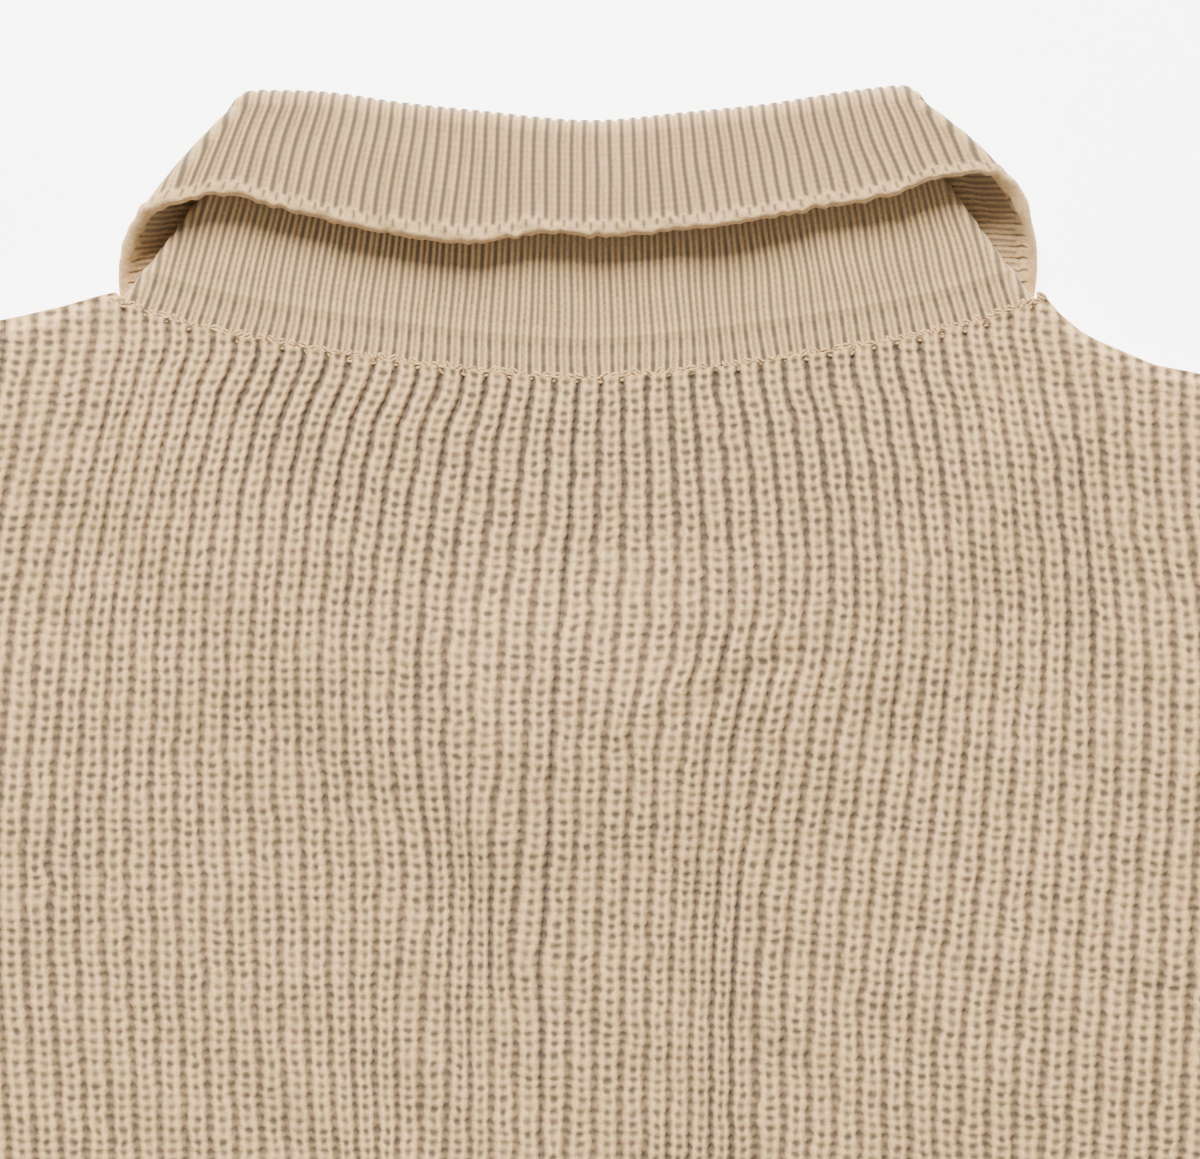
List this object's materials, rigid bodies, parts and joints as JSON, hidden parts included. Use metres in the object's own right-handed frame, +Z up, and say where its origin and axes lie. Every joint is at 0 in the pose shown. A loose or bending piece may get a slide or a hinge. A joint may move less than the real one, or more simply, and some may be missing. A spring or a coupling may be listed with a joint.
{
  "type": "cardigan",
  "caption": "Chunky rib-knit cardigan with a tall turned-down rib collar, long sleeves and a buttoned front, laid flat back up.",
  "frame": {"origin": "on the surface that the cardigan lies on, under the middle of its bounding box", "axes": "+Z up from the surface, out of the cardigan's back; +Y towards the collar; +X towards the right of the picture, where the cardigan's right sleeve lies"},
  "size_m": [1.2246, 0.7001, 0.0148],
  "materials": {
    "body_knit": "chunky half-cardigan rib in a soft beige yarn, matt with a short fuzz",
    "collar_rib": "firm 1x1 rib in the same beige yarn, matt",
    "button_horn": "satin brown, horn-like"
  },
  "bodies": {
    "root": {"back": "body_knit", "front_left": "body_knit", "front_right": "body_knit", "sleeve_left": "body_knit", "sleeve_right": "body_knit", "collar": "collar_rib", "band_left": "collar_rib", "band_right": "collar_rib", "button_1": "button_horn", "button_2": "button_horn", "button_3": "button_horn", "button_4": "button_horn", "button_5": "button_horn", "button_6": "button_horn"}
  },
  "joints": []
}
